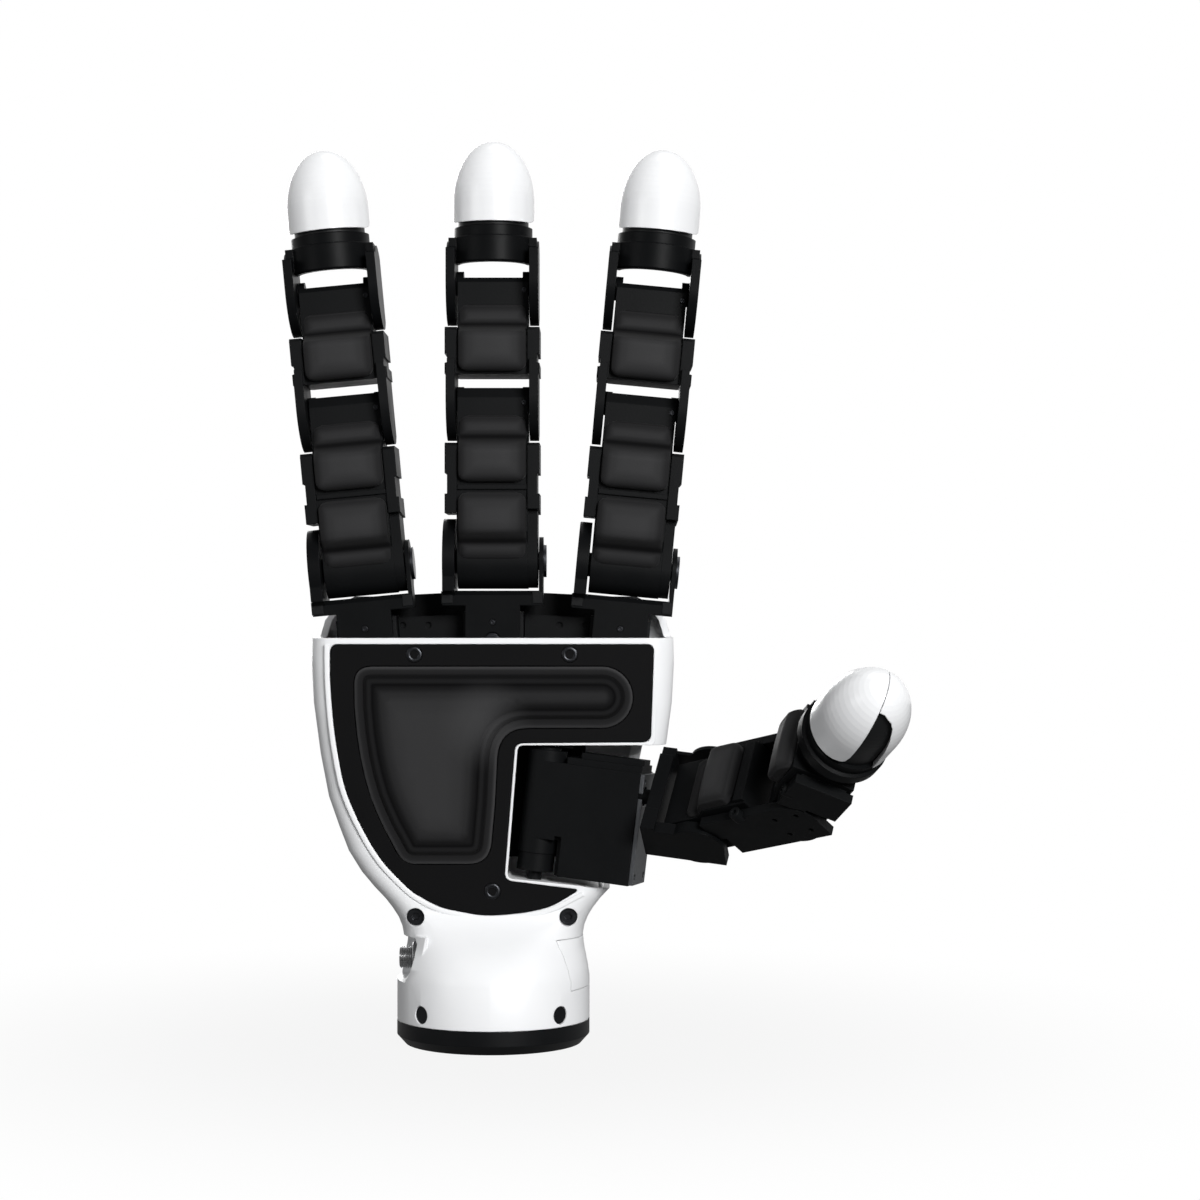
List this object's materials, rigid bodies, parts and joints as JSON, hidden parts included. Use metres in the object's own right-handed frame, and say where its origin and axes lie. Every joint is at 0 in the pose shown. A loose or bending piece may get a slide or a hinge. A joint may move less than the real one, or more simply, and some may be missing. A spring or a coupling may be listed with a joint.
{
  "type": "dexterous robot hand",
  "caption": "Dexterous robot hand: padded jointed fingers and an opposing thumb on a white palm housing with a round bolt-on wrist flange, for grasping and manipulation.",
  "frame": {"origin": "centre of the wrist flange's bottom face, on the robot bolt circle's axis", "axes": "+Z from the wrist flange to the fingertips, the palm faces -Y, the thumb is on the +X side"},
  "size_m": [0.1979, 0.1356, 0.2995],
  "materials": {
    "graphite_plastic": "fine textured",
    "white_shell": "satin",
    "black_rubber": "soft matte",
    "motor_case": "dark anodised",
    "screw_steel": "turned",
    "board": "solder mask"
  },
  "bodies": {
    "palm": {"base_flange": "graphite_plastic", "palm_shell": "white_shell", "rear_cover": "white_shell", "palm_plate": "graphite_plastic", "palm_pad": "black_rubber", "chassis_frame": "graphite_plastic", "abduction_motors": "motor_case", "control_board": "board", "base_screws": "screw_steel", "palm_screws": "screw_steel", "service_hatch": "white_shell", "data_connector": "screw_steel"},
    "ring_knuckle": {"ring_knuckle_fork": "graphite_plastic", "ring_knuckle_cap": "screw_steel"},
    "ring_proximal": {"ring_proximal_housing": "graphite_plastic", "ring_proximal_pads": "black_rubber", "ring_proximal_motors": "motor_case"},
    "ring_medial": {"ring_medial_housing": "graphite_plastic", "ring_medial_pad": "black_rubber", "ring_medial_motor": "motor_case"},
    "ring_distal": {"ring_distal_fork": "graphite_plastic", "ring_tip_core": "graphite_plastic", "ring_tip_front_shell": "white_shell", "ring_tip_rear_shell": "white_shell"},
    "middle_knuckle": {"middle_knuckle_fork": "graphite_plastic", "middle_knuckle_cap": "screw_steel"},
    "middle_proximal": {"middle_proximal_housing": "graphite_plastic", "middle_proximal_pads": "black_rubber", "middle_proximal_motors": "motor_case"},
    "middle_medial": {"middle_medial_housing": "graphite_plastic", "middle_medial_pad": "black_rubber", "middle_medial_motor": "motor_case"},
    "middle_distal": {"middle_distal_fork": "graphite_plastic", "middle_tip_core": "graphite_plastic", "middle_tip_front_shell": "white_shell", "middle_tip_rear_shell": "white_shell"},
    "index_knuckle": {"index_knuckle_fork": "graphite_plastic", "index_knuckle_cap": "screw_steel"},
    "index_proximal": {"index_proximal_housing": "graphite_plastic", "index_proximal_pads": "black_rubber", "index_proximal_motors": "motor_case"},
    "index_medial": {"index_medial_housing": "graphite_plastic", "index_medial_pad": "black_rubber", "index_medial_motor": "motor_case"},
    "index_distal": {"index_distal_fork": "graphite_plastic", "index_tip_core": "graphite_plastic", "index_tip_front_shell": "white_shell", "index_tip_rear_shell": "white_shell"},
    "thumb_base": {"thumb_base_housing": "graphite_plastic", "thumb_roll_motor": "motor_case"},
    "thumb_fork": {"thumb_roll_fork": "graphite_plastic", "thumb_knuckle_cap": "screw_steel"},
    "thumb_proximal": {"thumb_proximal_housing": "graphite_plastic", "thumb_proximal_pad": "black_rubber"},
    "thumb_distal": {"thumb_distal_housing": "graphite_plastic", "thumb_distal_pad": "black_rubber", "thumb_collar": "graphite_plastic", "thumb_tip_core": "graphite_plastic", "thumb_tip_front_shell": "white_shell", "thumb_tip_rear_shell": "white_shell"}
  },
  "joints": [
    {"name": "ring_swing", "type": "hinge", "parent": "palm", "child": "ring_knuckle", "pos_m": [-0.0416, 0, 0.1314], "axis": [0, 1, 0], "range_deg": [-22, 10]},
    {"name": "ring_knuckle_flex", "type": "hinge", "parent": "ring_knuckle", "child": "ring_proximal", "pos_m": [-0.04407, 0, 0.15748], "axis": [0.9956, 0, 0.0941], "range_deg": [-11, 82]},
    {"name": "ring_middle_flex", "type": "hinge", "parent": "ring_proximal", "child": "ring_medial", "pos_m": [-0.04915, 0, 0.21124], "axis": [0.9956, 0, 0.0941], "range_deg": [-10, 80]},
    {"name": "ring_tip_flex", "type": "hinge", "parent": "ring_medial", "child": "ring_distal", "pos_m": [-0.05276, 0, 0.24947], "axis": [0.9956, 0, 0.0941], "range_deg": [-13, 85]},
    {"name": "middle_swing", "type": "hinge", "parent": "palm", "child": "middle_knuckle", "pos_m": [0, 0, 0.1336], "axis": [0, 1, 0], "range_deg": [-10, 10]},
    {"name": "middle_knuckle_flex", "type": "hinge", "parent": "middle_knuckle", "child": "middle_proximal", "pos_m": [0, 0, 0.1598], "axis": [1, 0, 0], "range_deg": [-11, 82]},
    {"name": "middle_middle_flex", "type": "hinge", "parent": "middle_proximal", "child": "middle_medial", "pos_m": [0, 0, 0.2138], "axis": [1, 0, 0], "range_deg": [-10, 80]},
    {"name": "middle_tip_flex", "type": "hinge", "parent": "middle_medial", "child": "middle_distal", "pos_m": [0, 0, 0.2522], "axis": [1, 0, 0], "range_deg": [-13, 85]},
    {"name": "index_swing", "type": "hinge", "parent": "palm", "child": "index_knuckle", "pos_m": [0.0416, 0, 0.1314], "axis": [0, 1, 0], "range_deg": [-10, 22]},
    {"name": "index_knuckle_flex", "type": "hinge", "parent": "index_knuckle", "child": "index_proximal", "pos_m": [0.04407, 0, 0.15748], "axis": [0.9956, 0, -0.0941], "range_deg": [-11, 82]},
    {"name": "index_middle_flex", "type": "hinge", "parent": "index_proximal", "child": "index_medial", "pos_m": [0.04915, 0, 0.21124], "axis": [0.9956, 0, -0.0941], "range_deg": [-10, 80]},
    {"name": "index_tip_flex", "type": "hinge", "parent": "index_medial", "child": "index_distal", "pos_m": [0.05276, 0, 0.24947], "axis": [0.9956, 0, -0.0941], "range_deg": [-13, 85]},
    {"name": "thumb_swing", "type": "hinge", "parent": "palm", "child": "thumb_base", "pos_m": [0.01725, -0.0063, 0.0864], "axis": [0.1149, 0, 0.9934], "range_deg": [-62, 0]},
    {"name": "thumb_roll", "type": "hinge", "parent": "thumb_base", "child": "thumb_fork", "pos_m": [0.05338, -0.01867, 0.08222], "axis": [0.9626, -0.247, -0.1114], "range_deg": [-31.5, 41.5]},
    {"name": "thumb_knuckle_flex", "type": "hinge", "parent": "thumb_fork", "child": "thumb_proximal", "pos_m": [0.07042, -0.02304, 0.08025], "axis": [-0.2361, -0.5627, -0.7922], "range_deg": [-42.2, 53.8]},
    {"name": "thumb_tip_flex", "type": "hinge", "parent": "thumb_proximal", "child": "thumb_distal", "pos_m": [0.09939, -0.04684, 0.08852], "axis": [-0.2361, -0.5627, -0.7922], "range_deg": [-40.9, 44]}
  ]
}
